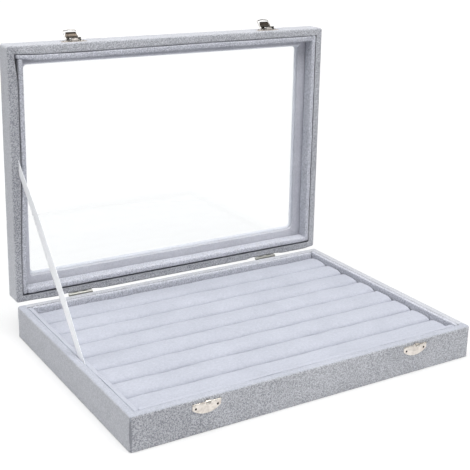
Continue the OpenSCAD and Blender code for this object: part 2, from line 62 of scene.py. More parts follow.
class Value:
    """An output of a node. Arithmetic on it adds Math nodes to its material."""

    def __init__(self, finish, socket):
        self.finish = finish
        self.socket = socket

    def calc(self, operation, *values):
        return self.finish.node("ShaderNodeMath", {"operation": operation}, dict(enumerate(values)))

    def __add__(self, other):
        return self.calc("ADD", self, other)

    def __sub__(self, other):
        return self.calc("SUBTRACT", self, other)

    def __rsub__(self, other):
        return self.calc("SUBTRACT", other, self)

    def __mul__(self, other):
        return self.calc("MULTIPLY", self, other)

    def band(self, low, high):
        """0 below low, 1 above high, straight between them."""
        return self.finish.node(
            "ShaderNodeMapRange", {"clamp": True}, {0: self, 1: low, 2: high, 3: 0.0, 4: 1.0}
        )

    __radd__ = __add__
    __rmul__ = __mul__


class Finish:
    """A material, or the world's shader, built up one expression at a time."""

    def __init__(self, name, block=None):
        self.block = block or bpy.data.materials.new(name)
        self.block.use_nodes = True
        self.tree = self.block.node_tree
        self.tree.nodes.clear()

    def fill(self, socket, value):
        if isinstance(value, Value):
            self.tree.links.new(value.socket, socket)
        elif isinstance(value, tuple) and len(value) == 3 and socket.type == "RGBA":
            socket.default_value = (*value, 1.0)
        else:
            socket.default_value = value

    def node(self, kind, settings=None, inputs=None, out=0):
        """Adds a node: its settings first, then its inputs by name or number; gives one output."""
        made = self.tree.nodes.new(kind)
        for key, value in (settings or {}).items():
            setattr(made, key, value)
        for key, value in (inputs or {}).items():
            self.fill(made.inputs[key], value)
        return Value(self, made.outputs[out])

    def place(self):
        return self.node("ShaderNodeTexCoord", out="Object")

    def stretched(self, vector, scale):
        return self.node("ShaderNodeMapping", inputs={"Vector": vector, "Scale": scale})

    def noise(self, vector, scale, detail=2.0, roughness=0.5, distortion=0.0):
        inputs = {
            "Vector": vector,
            "Scale": scale,
            "Detail": detail,
            "Roughness": roughness,
            "Distortion": distortion,
        }
        return self.node("ShaderNodeTexNoise", inputs=inputs)

    def mix(self, factor, a, b):
        """Colour a where factor is 0, colour b where it is 1."""
        return self.node("ShaderNodeMix", {"data_type": "RGBA"}, {0: factor, 6: a, 7: b}, out=2)

    def bump(self, height, distance, strength):
        inputs = {"Height": height, "Distance": distance, "Strength": strength}
        return self.node("ShaderNodeBump", inputs=inputs)

    def principled(self, **inputs):
        return self.node(
            "ShaderNodeBsdfPrincipled", inputs={k.replace("_", " "): v for k, v in inputs.items()}
        )

    def end(self, shader, kind="ShaderNodeOutputMaterial"):
        made = self.tree.nodes.new(kind)
        self.tree.links.new(shader.socket, made.inputs["Surface"])
        return self.block


def any_of(finish, *names):
    """1 for a ray of any of the named kinds."""
    path = finish.node("ShaderNodeLightPath").socket.node
    total = Value(finish, path.outputs[names[0]])
    for name in names[1:]:
        total = total.calc("MAXIMUM", total, Value(finish, path.outputs[name]))
    return total


WHITE, PAPER_WHITE, AMBIENT = (1.0, 1.0, 1.0), 1.06, 0.38
ROOM_DARK, ROOM_LOW, ROOM_HIGH = (0.06, 0.055, 0.05), 0.05, 0.40
scene = bpy.context.scene
scene.view_settings.view_transform = "Standard"
world = bpy.data.worlds.new("surround")
scene.world = world
sky = Finish("surround", world)
way = sky.node("ShaderNodeTexCoord", out="Generated")
height = sky.node("ShaderNodeSeparateXYZ", inputs={0: way}, out="Z")
room = sky.mix(height.band(ROOM_LOW, ROOM_HIGH), ROOM_DARK, WHITE)
seen = any_of(sky, "Is Camera Ray", "Is Transmission Ray")
mirrored = any_of(sky, "Is Glossy Ray")
bright = sky.node("ShaderNodeBackground", inputs={"Color": WHITE, "Strength": PAPER_WHITE})
dim = sky.node("ShaderNodeBackground", inputs={"Color": room, "Strength": 1.0})
soft = sky.node("ShaderNodeBackground", inputs={"Color": (0.97, 0.985, 1.0), "Strength": AMBIENT})
unseen = sky.node("ShaderNodeMixShader", inputs={0: mirrored, 1: soft, 2: dim})
surround = sky.node("ShaderNodeMixShader", inputs={0: seen, 1: unseen, 2: bright})
sky.end(surround, "ShaderNodeOutputWorld")


def lamp(name, place, aim, size, power):
    """Square area lamp at a place, turned to face a point."""
    data = bpy.data.lights.new(name, "AREA")
    data.shape = "SQUARE"
    data.size = size
    data.energy = power
    made = bpy.data.objects.new(name, data)
    scene.collection.objects.link(made)
    made.location = place
    made.rotation_mode = "QUATERNION"
    made.rotation_quaternion = (Vector(aim) - Vector(place)).to_track_quat("-Z", "Y")


lamp("overhead", (0.0, -0.25, 1.5), (0.0, 0.0, 0.05), 1.3, 26.5)
lamp("fill", (-0.2, -1.8, 0.40), (0.0, 0.0, 0.15), 1.0, 3.6)
lamp("side", (-1.6, 0.25, 1.0), (0.0, 0.0, 0.15), 0.9, 7.5)

FLOOR_R, FLOOR_SIDES, FLOOR_DROP = 1.6, 96, 0.0002
CLEAR_FROM, CLEAR_TO, LIFT = 0.34, 0.62, 0.55
angle = np.linspace(0.0, 2.0 * np.pi, FLOOR_SIDES + 1)[:-1]
low = np.full(FLOOR_SIDES, -FLOOR_DROP)
rim = np.column_stack([FLOOR_R * np.cos(angle), FLOOR_R * np.sin(angle), low])
floor_mesh = bpy.data.meshes.new("floor")
floor_mesh.from_pydata(rim.tolist(), [], [list(range(FLOOR_SIDES))])
floor = bpy.data.objects.new("floor", floor_mesh)
scene.collection.objects.link(floor)
ground = Finish("floor_white")
lifted = any_of(ground, "Is Camera Ray", "Is Transmission Ray") * LIFT
from_middle = ground.node(
    "ShaderNodeVectorMath", {"operation": "LENGTH"}, {0: ground.place()}, out="Value"
)
paper = ground.principled(Base_Color=(0.80, 0.80, 0.80), Roughness=1.0, Specular_IOR_Level=0.0)
glow = ground.node("ShaderNodeEmission", inputs={"Color": WHITE, "Strength": PAPER_WHITE})
paper = ground.node("ShaderNodeMixShader", inputs={0: lifted, 1: paper, 2: glow})
gone = ground.node("ShaderNodeBsdfTransparent")
far_off = from_middle.band(CLEAR_FROM, CLEAR_TO)
paper = ground.node("ShaderNodeMixShader", inputs={0: far_off, 1: paper, 2: gone})
floor_mesh.materials.append(ground.end(paper))

AZIMUTH, DOWN, ROLL = math.radians(31.742), math.radians(14.824), math.radians(1.096)
EYE = (-0.471743, -0.747317, 0.408836)
FOCAL_PX, SHIFT_PX, FRAME_PX, SENSOR = 1007.09, 66.78, 470.0, 36.0
flat = Vector((math.sin(AZIMUTH), math.cos(AZIMUTH), 0.0))
ahead = math.cos(DOWN) * flat - math.sin(DOWN) * Vector((0.0, 0.0, 1.0))
level = Vector((math.cos(AZIMUTH), -math.sin(AZIMUTH), 0.0))
upward = level.cross(ahead)
cam_right = math.cos(ROLL) * level + math.sin(ROLL) * upward
cam_up = -math.sin(ROLL) * level + math.cos(ROLL) * upward
lens = bpy.data.cameras.new("camera")
lens.sensor_width = SENSOR
lens.lens = FOCAL_PX / FRAME_PX * SENSOR
lens.shift_y = -SHIFT_PX / FRAME_PX
lens.clip_start = 0.05
camera = bpy.data.objects.new("camera", lens)
scene.collection.objects.link(camera)
turn = Matrix((cam_right, cam_up, -ahead)).transposed().to_4x4()
camera.matrix_world = Matrix.Translation(EYE) @ turn
scene.camera = camera

# ---- Velvet covers ----
# Short-pile velvet glued over the boards: up the outside, over the rim and a little way down
# inside. On the lid it also runs over the frame board and turns in at the window; its inner
# walls are painted near black as the shade in the slits behind the lining, and in dark velvet
# as the shade at the back.


def box_mm(name):
    """Lowest and highest corner of a CAD node at rest, in millimetres."""
    return [[round(value / MM, 3) for value in corner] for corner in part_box(name)]


def apart(a, b):
    """How far b is past a, to the micrometre."""
    return round(b - a, 3)


CORNER_R, EDGE_R, INNER_R, TIGHT_R = 2.8, 1.8, 1.15, 0.4
TURN_IN, MARGIN, WINDOW_R, FOLD = 8.0, 20.2, 3.0, 2.3
# Insets count from the outside of the cloth, and heights on the lid from its rim.
cover_low, cover_high = box_mm("base_velvet_cover")
WIDTH, DEPTH, BASE_H, HEM = 2 * cover_high[0], 2 * cover_high[1], cover_high[2], cover_low[2]
PILE = apart(cover_low[0], box_mm("base_front_board")[0][0])
WALL_IN = apart(cover_low[0], box_mm("base_left_board")[1][0] + PILE)
strip_low, strip_high = box_mm("base_liner_left")
LINER_OUT, ROOM_IN = apart(cover_low[0], strip_low[0]), apart(cover_low[0], strip_high[0])
HINGE_X, HINGE_Y, HINGE_Z = (round((a + b) / 2, 3) for a, b in zip(*box_mm("hinge_pin_right")))
lid_low, lid_high = box_mm("lid_velvet_cover")
LID_H = apart(lid_low[1], lid_high[1])
RIM_Z = apart(HINGE_Y, HINGE_Z + lid_low[1])
GLASS_TOP = apart(lid_low[1], box_mm("glass_pane")[1][1])


def add_piece(name, verts, faces, material):
    """Puts an array of corners in millimetres and its faces into a new object."""
    mesh = bpy.data.meshes.new(name)
    mesh.from_pydata((np.asarray(verts).reshape(-1, 3) * MM).tolist(), [], faces)
    mesh.validate()
    mesh.polygons.foreach_set("use_smooth", np.ones(len(mesh.polygons), bool))
    made = bpy.data.objects.new(name, mesh)
    scene.collection.objects.link(made)
    mesh.materials.append(material)
    return made


def paint(piece, material, centre_test):
    """Gives one more material to the faces whose centres, in millimetres, pass the test."""
    mesh = piece.data
    centre = np.empty(len(mesh.polygons) * 3)
    mesh.polygons.foreach_get("center", centre)
    mesh.materials.append(material)
    index = np.empty(len(mesh.polygons), np.int32)
    mesh.polygons.foreach_get("material_index", index)
    index[centre_test(centre.reshape(-1, 3) / MM)] = len(mesh.materials) - 1
    mesh.polygons.foreach_set("material_index", index)


def grid_faces(rows, columns, wrap_rows=False, wrap_columns=False):
    """Quads of a grid of rows x columns corners, closed round either way if asked."""
    r = np.arange(rows if wrap_rows else rows - 1)
    c = np.arange(columns if wrap_columns else columns - 1)
    r, c = np.meshgrid(r, c, indexing="ij")
    r1, c1 = (r + 1) % rows, (c + 1) % columns
    quads = np.stack([r * columns + c, r * columns + c1, r1 * columns + c1, r1 * columns + c], -1)
    return quads.reshape(-1, 4).tolist()


def tidy_normals(piece):
    """Merges doubled corners and turns all faces outwards."""
    work = bmesh.new()
    work.from_mesh(piece.data)
    bmesh.ops.remove_doubles(work, verts=work.verts, dist=2e-6)
    bmesh.ops.dissolve_degenerate(work, edges=work.edges, dist=1e-6)
    bmesh.ops.recalc_face_normals(work, faces=work.faces)
    work.to_mesh(piece.data)
    work.free()


def ripple(points, size, wave, seed, count=14):
    """Smooth field of height size: a sum of plane waves in random directions, each about one
    wave long."""
    draw = np.random.default_rng(seed)
    way = draw.normal(size=(count, 3))
    way /= np.linalg.norm(way, axis=1)[:, None]
    rate = 2.0 * np.pi / (wave * draw.uniform(0.7, 1.5, count))
    phase = draw.uniform(0.0, 2.0 * np.pi, count)
    field = np.sin(points @ (way * rate[:, None]).T + phase).sum(-1)
    return size * field / math.sqrt(count / 2.0)


def eased(x, low, high):
    """Smooth step: 0 below low, 1 above high."""
    t = np.clip((x - low) / (high - low), 0.0, 1.0)
    return t * t * (3.0 - 2.0 * t)


BACK_SAG, FRONT_STAND, FRONT_STAND_LEFT = 1.3, 0.9, 1.0


def sagged(x):
    """How far in mm the lid's back wall swells between and beside its hinges."""
    off_hinge = np.minimum(np.abs(x - HINGE_X), np.abs(x + HINGE_X))
    off_ends = eased(x, -165.0, -120.0) * (1.0 - eased(x, 160.0, 172.0))
    return BACK_SAG * eased(off_hinge, 14.5, 24.0) * off_ends


def front_swell(x):
    """How far in mm the inner edge of the lid's front rim stands in, more to the left."""
    to_left = (1.0 - eased(x, -110.0, 60.0)) * eased(x, -163.0, -143.0)
    return FRONT_STAND + FRONT_STAND_LEFT * to_left


def opened(points):
    """Carries points of the shut lid a quarter turn about the hinge pins to the open lid."""
    p = np.asarray(points, float)
    return np.stack([p[..., 0], HINGE_Y + p[..., 2] - HINGE_Z, HINGE_Z - p[..., 1] + HINGE_Y], -1)


def box_path(side_steps=(84, 60), corner_steps=8):
    """Round the box anticlockwise: the corner centres' signs and the outward directions."""
    signs = np.array([[1, 1], [-1, 1], [-1, -1], [1, -1]], float)
    centre, out = [], []
    for k in range(4):
        turn_at = np.radians(90.0 * k + np.linspace(0.0, 90.0, corner_steps + 1))
        centre.append(np.repeat(signs[k][None], corner_steps + 1, 0))
        out.append(np.column_stack([np.cos(turn_at), np.sin(turn_at)]))
        along = np.linspace(0.0, 1.0, side_steps[k % 2] + 1)[1:-1, None]
        centre.append(signs[k] + (signs[(k + 1) % 4] - signs[k]) * along)
        out.append(np.repeat(out[-1][-1:], len(along), 0))
    return np.concatenate(centre), np.concatenate(out)


def swept_round(profile):
    """Carries rows of (inset, height, corner radius) round the box, as an array rows x path x 3."""
    centre, out = box_path()
    rows = np.asarray(profile, float)
    inset, height, radius = rows[:, 0, None], rows[:, 1, None], rows[:, 2, None]
    x = centre[:, 0] * (WIDTH / 2 - inset - radius) + out[:, 0] * radius
    y = centre[:, 1] * (DEPTH / 2 - inset - radius) + out[:, 1] * radius
    return np.stack([x, y, np.broadcast_to(height, x.shape)], -1)


def bend(centre, radius, start, end, steps):
    """Points of an arc in the plane of inset and height; the angles are in degrees."""
    a = np.radians(np.linspace(start, end, steps + 1))
    return [(centre[0] + radius * math.cos(t), centre[1] + radius * math.sin(t)) for t in a]


def line(a, b, steps):
    """Points from a to b without its end."""
    t = np.linspace(0.0, 1.0, steps + 1)[:-1, None]
    return [tuple(p) for p in np.array(a) + (np.array(b) - np.array(a)) * t]


def with_radius(points):
    """Adds the corner radius that goes with each inset, from the outer corner to the window's."""
    rows = []
    for inset, height in points:
        radius = CORNER_R - inset
        if radius <= TIGHT_R:
            to_window = max(0.0, inset - ROOM_IN) / (MARGIN - ROOM_IN)
            radius = TIGHT_R + (WINDOW_R - TIGHT_R) * to_window
        rows.append((inset, height, radius))
    return rows


def store_facing_and_shading(piece, nap):
    """Stores on the cloth which way it faces, and the light and shade painted on it there, which
    the second argument gives from the corners in millimetres and their outward directions."""
    mesh = piece.data
    facing = np.empty(len(mesh.vertices) * 3, np.float32)
    corners = np.empty_like(facing)
    mesh.vertex_normals.foreach_get("vector", facing)
    mesh.vertices.foreach_get("co", corners)
    mesh.attributes.new("facing", "FLOAT_VECTOR", "POINT").data.foreach_set("vector", facing)
    shade = nap(corners.reshape(-1, 3).T / MM, facing.reshape(-1, 3).T).astype(np.float32)
    mesh.attributes.new("nap", "FLOAT", "POINT").data.foreach_set("value", shade)


# How much lighter velvet with a lay is painted where it faces up: a painted highlight.
UPWARD_PAINTED_LIGHT = 0.22


def velvet(
    name, dark, light, grain, cloud=0.15, crush=0.12, sheen=0.2, bump=0.35,
    lay=0.0, front=0.0, depth=1.0,
):
    """Short pile: crushed flecks of light and dark pile, grain of them to the metre, over slow
    clouds that have the share cloud. crush sets how hard the flecks break, depth how far apart
    they are, and lay how much calmer they are on faces turned off the front and back; where lay
    is set, faces turned up also get a painted highlight. front is how much lighter the cloth is
    painted where it faces front, as a painted highlight. The light and shade painted on each
    piece is added last."""
    cloth = Finish(name)
    place = cloth.place()
    pile = cloth.noise(place, grain, 3.0, 0.6, 0.6)
    fine = cloth.noise(place, grain * 3.1, 2.0, 0.6)
    clouds = cloth.noise(place, 30.0, 3.0, 0.55, 0.4)
    flecks = pile.band(0.5 - crush, 0.5 + crush) * 0.8 + fine.band(0.32, 0.68) * 0.2
    shade = (flecks * (1.0 - cloud) + clouds.band(0.3, 0.7) * cloud - 0.5) * depth
    if lay:
        facing = cloth.node("ShaderNodeAttribute", {"attribute_name": "facing"}, out="Vector")
        endways = cloth.node("ShaderNodeSeparateXYZ", inputs={0: facing}, out="Y")
        upward = cloth.node("ShaderNodeSeparateXYZ", inputs={0: facing}, out="Z").band(0.5, 0.95)
        frontward = (0.0 - endways).band(0.3, 0.9)
        side_on = 1.0 - (endways * endways).band(0.25, 0.75)
        # Painted highlight: faces turned up, and by front faces turned to the front, are painted
        # lighter.
        shade = shade * (1.0 - side_on * lay) + upward * UPWARD_PAINTED_LIGHT + frontward * front
    # Adds the light and shade painted on the piece itself.
    shade = shade + cloth.node("ShaderNodeAttribute", {"attribute_name": "nap"}, out="Fac") + 0.5
    return cloth.end(
        cloth.principled(
            Base_Color=cloth.mix(shade, dark, light),
            Roughness=0.92,
            Specular_IOR_Level=0.15,
            Sheen_Weight=sheen,
            Sheen_Roughness=0.45,
            Sheen_Tint=(0.92, 0.94, 1.0),
            Normal=cloth.bump(pile * 0.7 + fine * 0.3, bump * MM, 0.8),
        )
    )


# Its lay also gives its upward faces the painted highlight.
outer_velvet = velvet(
    "outer_velvet", (0.225, 0.23, 0.255), (0.64, 0.65, 0.685), 860.0, crush=0.09, bump=0.5, lay=0.6
)

skin = [(0.0, HEM)]
skin += line((0.0, 2 * HEM), (0.0, BASE_H - EDGE_R), 12)
skin += bend((EDGE_R, BASE_H - EDGE_R), EDGE_R, 180, 90, 7)
skin += bend((WALL_IN - INNER_R, BASE_H - INNER_R), INNER_R, 90, 0, 6)
skin += line((WALL_IN, BASE_H - INNER_R - 1.5), (WALL_IN, BASE_H - TURN_IN), 3)
against_boards = [
    (WALL_IN, BASE_H - TURN_IN),
    (WALL_IN - PILE, BASE_H - TURN_IN),
    (WALL_IN - PILE, BASE_H - PILE),
    (PILE, BASE_H - PILE),
    (PILE, HEM),
]
in_sight = np.arange(len(skin) + len(against_boards)) < len(skin)
shape = swept_round(with_radius(skin + against_boards))
slack = ripple(shape, 0.10, 34.0, 11) + ripple(shape, 0.05, 9.0, 12)
slack *= (shape[..., 2] > 2.0) & in_sight[:, None]
outwards = shape * np.array([1.0, 1.0, 0.0])
outwards /= np.linalg.norm(outwards, axis=-1, keepdims=True)
shape += outwards * slack[..., None]
base_cover = add_piece("base_cover", shape, grid_faces(*shape.shape[:2], True, True), outer_velvet)
tidy_normals(base_cover)


def base_painted_shading(corner, facing):
    """Painted light and shade: a little darker towards the left end of the front, painted shade
    along the left front corner's seam, and painted light down inside the front and left walls,
    against the shade of the slits there."""
    x, y, z = corner
    round_corner = x + WIDTH / 2 + y + DEPTH / 2
    seam = (1.0 - eased(round_corner, 1.65, 1.95)) * (z < BASE_H - EDGE_R)
    left_wall = eased(facing[0], 0.2, 0.8) * (x < 0.0)
    front_wall = eased(facing[1], 0.2, 0.8) * (y < 0.0)
    to_left = (1.0 - eased(x, -175.0, -20.0)) * eased(-facing[1], 0.3, 0.8)
    return 0.5 * np.maximum(left_wall, front_wall) - 0.12 * to_left - 0.6 * seam


store_facing_and_shading(base_cover, base_painted_shading)
rim_velvet = velvet(
    "rim_velvet", (0.33, 0.345, 0.39), (0.54, 0.555, 0.62), 860.0, cloud=0.2, crush=0.2
)


def on_near_rims(centre):
    """The top of the front and left rims, which take a calmer, bluer velvet."""
    x, y, z = centre.T
    inset = np.minimum(WIDTH / 2 + x, DEPTH / 2 + y)
    return (inset > 0.45) & (inset < WALL_IN + 0.1) & (z > BASE_H - 5.0)


paint(base_cover, rim_velvet, on_near_rims)
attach(base_cover, "base")
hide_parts("base_velvet_cover")

LEFT_SWELL, BACK_THINNED, NEAR = 2.5, 0.9, 0.01
DRAWN_LEFT, DRAWN_FRONT = 0.8, 1.7
BRIDGED, BRIDGE_REACH = 2.4, 4.2


def tucked_corner(shape):
    """Way of the window's right back corner, where the cloth bridges it: BRIDGED exp(-(s/r)^2)
    inwards, where s is how far the point is from the corner along both sides and r the reach."""
    off = np.abs(WIDTH / 2 - MARGIN - shape[..., 0]) + np.abs(DEPTH / 2 - MARGIN - shape[..., 1])
    bridge = BRIDGED * np.exp(-((off / BRIDGE_REACH) ** 2))
    return bridge[..., None] * np.array([1.0, 1.0, 0.0])


skin = line((WALL_IN, TURN_IN), (WALL_IN, INNER_R), 4)
skin += bend((WALL_IN - INNER_R, INNER_R), INNER_R, 0, -90, 6)
skin += bend((EDGE_R, EDGE_R), EDGE_R, 270, 180, 7)
skin += line((0.0, EDGE_R + 1.0), (0.0, LID_H - EDGE_R), 6)
skin += bend((EDGE_R, LID_H - EDGE_R), EDGE_R, 180, 90, 7)
skin += line((EDGE_R + 2.0, LID_H), (MARGIN + FOLD - 1.2, LID_H), 8)
skin += bend((MARGIN + FOLD - 1.0, LID_H - 1.0), 1.0, 90, 0, 4)
skin += [(MARGIN + 0.3, GLASS_TOP + 0.05)]
against_boards = [
    (MARGIN - PILE, GLASS_TOP + 0.05),
    (MARGIN - PILE, LID_H - PILE),
    (PILE, LID_H - PILE),
    (PILE, PILE),
    (WALL_IN - PILE, PILE),
    (WALL_IN - PILE, TURN_IN),
]
in_sight = np.arange(len(skin) + len(against_boards)) < len(skin)
rows = with_radius(skin + against_boards)
shape = swept_round([(inset, RIM_Z + height, radius) for inset, height, radius in rows])

# Slack and wear: the left rim swells inwards over its front half, the back wall sags outwards off
# its hinges and is thin inside, the front rim stands in, and the window's edge is drawn back.
from_left, from_front = shape[..., 0] + WIDTH / 2, shape[..., 1] + DEPTH / 2
from_back = DEPTH / 2 - shape[..., 1]
height = shape[..., 2] - RIM_Z
at_rim = height < TURN_IN + NEAR
swell = LEFT_SWELL * eased(from_front, 6.0, 38.0) * (1.0 - eased(from_front, 110.0, 205.0))
swell *= eased(from_left, 3.0, WALL_IN) * (from_left < WALL_IN + NEAR) * at_rim
shape[..., 0] += swell
near_rim = (1.0 - eased(height, 7.0, 18.0)) * (from_back < WALL_IN + NEAR)
shape[..., 1] += near_rim * (1.0 - eased(from_back, 2.0, WALL_IN)) * sagged(shape[..., 0])
shape[..., 1] += near_rim * BACK_THINNED * eased(from_back, 3.0, WALL_IN)
inner_front = at_rim * (from_front < WALL_IN + NEAR) * eased(from_front, 3.0, WALL_IN)
shape[..., 1] += inner_front * front_swell(shape[..., 0])
to_window = np.minimum(WIDTH / 2 - np.abs(shape[..., 0]), DEPTH / 2 - np.abs(shape[..., 1]))
drawn = eased(to_window, MARGIN - 4.0, MARGIN - 0.5)
shape[..., 0] -= DRAWN_LEFT * drawn * (shape[..., 0] < 0.0)
shape[..., 1] -= DRAWN_FRONT * drawn * (shape[..., 1] < 0.0)
shape -= tucked_corner(shape) * drawn[..., None]
slack = ripple(shape, 0.09, 30.0, 21) + ripple(shape, 0.05, 9.0, 22)
shape[..., 2] += slack * in_sight[:, None] * (shape[..., 2] > RIM_Z + LID_H / 2)
lid_cover = add_piece(
    "lid_cover", opened(shape), grid_faces(*shape.shape[:2], True, True), outer_velvet
)
tidy_normals(lid_cover)
# Near-black colour painted as the shade in the slits behind the lining.
slit_shadow_finish = Finish("slit_shadow")
slit_mottle = slit_shadow_finish.noise(slit_shadow_finish.place(), 500.0, 3.0, 0.6)
slit_shadow = slit_shadow_finish.end(
    slit_shadow_finish.principled(
        Base_Color=slit_shadow_finish.mix(slit_mottle.band(0.3, 0.7), (0.02, 0.018, 0.016), (0.07, 0.06, 0.05)),
        Roughness=0.9,
        Normal=slit_shadow_finish.bump(slit_mottle, 0.2 * MM, 0.5),
    )
)


def shut_inset(centre):
    """Inset from the lid's sides and height over its rim, of points on the open lid."""
    x, y, z = centre.T
    height = y - HINGE_Y + HINGE_Z - RIM_Z
    along = HINGE_Y - (z - HINGE_Z)
    return np.minimum(WIDTH / 2 - np.abs(x), DEPTH / 2 - np.abs(along)), height


def turned_in(centre):
    """The fold of cloth round the window, down to the glass."""
    inset, height = shut_inset(centre)
    return (inset > MARGIN - 1.0) & (height > GLASS_TOP - 0.2) & (height < LID_H - 0.6)


def down_inside(centre):
    """The inner faces of the rails, over the rim's rounding."""
    inset, height = shut_inset(centre)
    on_wall = (inset > WALL_IN - PILE - 0.2) & (inset < WALL_IN + 3.0)
    return on_wall & (height > 2.0) & (height < TURN_IN + 0.5)


def shadowed_rail_faces(centre):
    """The inner faces of the rails, painted near black as the shade in the slit behind the lining,
    all round but in the left front corner.
    """
    return down_inside(centre) & ((centre[:, 0] > -147.0) | (centre[:, 2] < 266.0))


def inside_back(centre):
    """The lowest of those faces when the lid is open, lined and in the dark."""
    return down_inside(centre) & (centre[:, 2] < HINGE_Z + 20.0)


def lid_painted_shading(corner, facing):
    """Painted light and shade: darker on the left of the rim, painted shadow of the lining along
    the rim's inner edge at the back, painted shade on the wall that is on top when the lid is
    open, and painted light on the left side."""
    x, y, z = corner
    left_rim = 1.0 - eased(x, -166.0, -163.0)
    back_inset = z - (HINGE_Z + HINGE_Y - DEPTH / 2)
    inner = eased(back_inset, 3.0, WALL_IN - 1.0) * (back_inset < WALL_IN + 3.0)
    inner *= eased(x, -172.0, -160.0) * (1.0 - eased(x, 160.0, 172.0))
    rim = eased(-facing[1], 0.3, 0.8) * (0.18 * left_rim + 0.3 * inner)
    left_side, top_side = eased(-facing[0], 0.3, 0.8), eased(facing[2], 0.3, 0.8)
    return 0.16 * left_side - 0.15 * top_side - rim


store_facing_and_shading(lid_cover, lid_painted_shading)
fold_velvet = velvet(
    "fold_velvet", (0.66, 0.665, 0.72), (0.80, 0.805, 0.86), 520.0, cloud=0.3, crush=0.25, bump=0.2
)
# A dark copy of the velvet, painted as the shade at the back of the lid.
shaded_velvet = velvet("shaded_velvet", (0.13, 0.135, 0.155), (0.24, 0.245, 0.275), 860.0)
paint(lid_cover, fold_velvet, turned_in)
paint(lid_cover, slit_shadow, shadowed_rail_faces)
paint(lid_cover, shaded_velvet, inside_back)
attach(lid_cover, "lid")
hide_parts("lid_velvet_cover")

# ---- Window ----
# A glass pane let in under the frame board and held from inside by a card frame that is
# padded a little and covered in smooth velvet, as the turned-in edge of the window is.

PAD_LOW, PAD_HIGH, PAD_R, PAD_BACK = 12.8, 15.75, 1.1, 6.7
PAD_DRAWN_LEFT, PAD_DRAWN_RIGHT, PAD_DRAWN_FRONT, PAD_DRAWN_BACK = 0.8, 1.2, 0.6, 0.5
PAD_SLOPE = 1.7
smooth_velvet = velvet(
    "smooth_velvet", (0.36, 0.365, 0.41), (0.78, 0.785, 0.84), 620.0,
    cloud=0.3, crush=0.2, bump=0.3, depth=0.45,
)

pad = line((8.0, PAD_LOW + 0.05), (MARGIN - 1.2, PAD_LOW), 10)
pad += bend((MARGIN - PAD_R, PAD_LOW + PAD_R), PAD_R, 270, 360, 6)
pad += [(MARGIN, PAD_HIGH - 0.2), (MARGIN - 0.2, PAD_HIGH), (8.0, PAD_HIGH)]
pad += [(PAD_BACK, PAD_HIGH - 0.1), (PAD_BACK, PAD_LOW + 0.1)]
shape = swept_round([(inset, RIM_Z + height, radius) for inset, height, radius in with_radius(pad)])
inset = np.array(pad)[:, 0, None]
way = box_path()[1]
to_right, to_back = np.clip(way, 0.0, 1.0).T
drawn = eased(inset, 12.0, MARGIN - 0.5)
shape[..., 0] -= (PAD_DRAWN_LEFT * (shape[..., 0] < 0.0) + PAD_DRAWN_RIGHT * to_right) * drawn
shape[..., 1] -= (PAD_DRAWN_FRONT * (shape[..., 1] < 0.0) + PAD_DRAWN_BACK * to_back) * drawn
pad_top = RIM_Z + PAD_HIGH - 0.15
raised = shape[..., 2] + PAD_SLOPE * to_right * eased(inset, MARGIN - 5.5, MARGIN - 0.3)
raised = np.minimum(raised, pad_top)
shape[..., 2] = np.where(shape[..., 2] < pad_top, raised, shape[..., 2])
shape -= tucked_corner(shape) * drawn[..., None]
face = shape[..., 2] < RIM_Z + PAD_LOW + 0.7
shape[..., 2] -= face * ripple(shape, 0.10, 26.0, 31)
retainer = add_piece(
    "retainer_cover", opened(shape), grid_faces(*shape.shape[:2], True, True), smooth_velvet
)
tidy_normals(retainer)


def flange_painted_shading(corner, facing):
    """The strip at the front of the lid is painted lighter, against the shade under the rim, and
    the right one darker, cut at the mitres. Close to the lining the front one is painted dark as
    the lining's shadow."""
    x, y, z = corner
    side_inset = WIDTH / 2 - np.abs(x)
    front_inset = HINGE_Z + HINGE_Y + DEPTH / 2 - z
    at_front = eased(side_inset - front_inset, -0.5, 0.5)
    under_lining = 1.0 - eased(front_inset, 17.6, 19.4)
    at_right = (1.0 - at_front) * eased(x, 150.0, 152.0)
    return (0.46 - 0.7 * under_lining) * at_front - 0.25 * at_right


def behind_lining(centre):
    """The part of the card frame in the slits behind the lining, painted near black as the shade
    there.
    """
    return shut_inset(centre)[0] < ROOM_IN


store_facing_and_shading(retainer, flange_painted_shading)
paint(retainer, slit_shadow, behind_lining)
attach(retainer, "lid")
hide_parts("glass_retainer_frame")

pane = Finish("window_glass")
smear = pane.noise(pane.place(), 14.0, 3.0, 0.6).band(0.45, 0.75) * 0.03
clear = pane.principled(
    Base_Color=(0.985, 0.995, 0.995), Roughness=smear, IOR=1.45, Transmission_Weight=1.0
)
shade_free = pane.node("ShaderNodeBsdfTransparent", inputs={"Color": (0.97, 0.98, 0.98)})
shadow = any_of(pane, "Is Shadow Ray", "Is Diffuse Ray")
glass = pane.end(pane.node("ShaderNodeMixShader", inputs={0: shadow, 1: clear, 2: shade_free}))


def dress(finish, *names):
    """Gives CAD nodes a material in place of the plain one."""
    for name in names:
        mesh = nodes[name].data
        mesh.materials.clear()
        mesh.materials.append(finish)


dress(glass, "glass_pane")

# ---- Boards ----
# Fibreboard walls, rails, floor and frame: sawn panels that the velvet hides, seen only
# where a cut edge shows.

timber = Finish("fibreboard")
place = timber.place()
fleck = timber.noise(timber.stretched(place, (1.0, 0.25, 1.0)), 900.0, 4.0, 0.7)
cloud = timber.noise(place, 30.0, 3.0)
shade = fleck.band(0.3, 0.75) * 0.7 + cloud * 0.3
fibreboard = timber.end(
    timber.principled(
        Base_Color=timber.mix(shade, (0.20, 0.13, 0.075), (0.42, 0.30, 0.19)),
        Roughness=0.8,
        Normal=timber.bump(fleck, 0.15 * MM, 0.6),
    )
)
SIDES = ("front", "back", "left", "right")
dress(fibreboard, *("base_%s_board" % side for side in SIDES), "base_floor_panel")
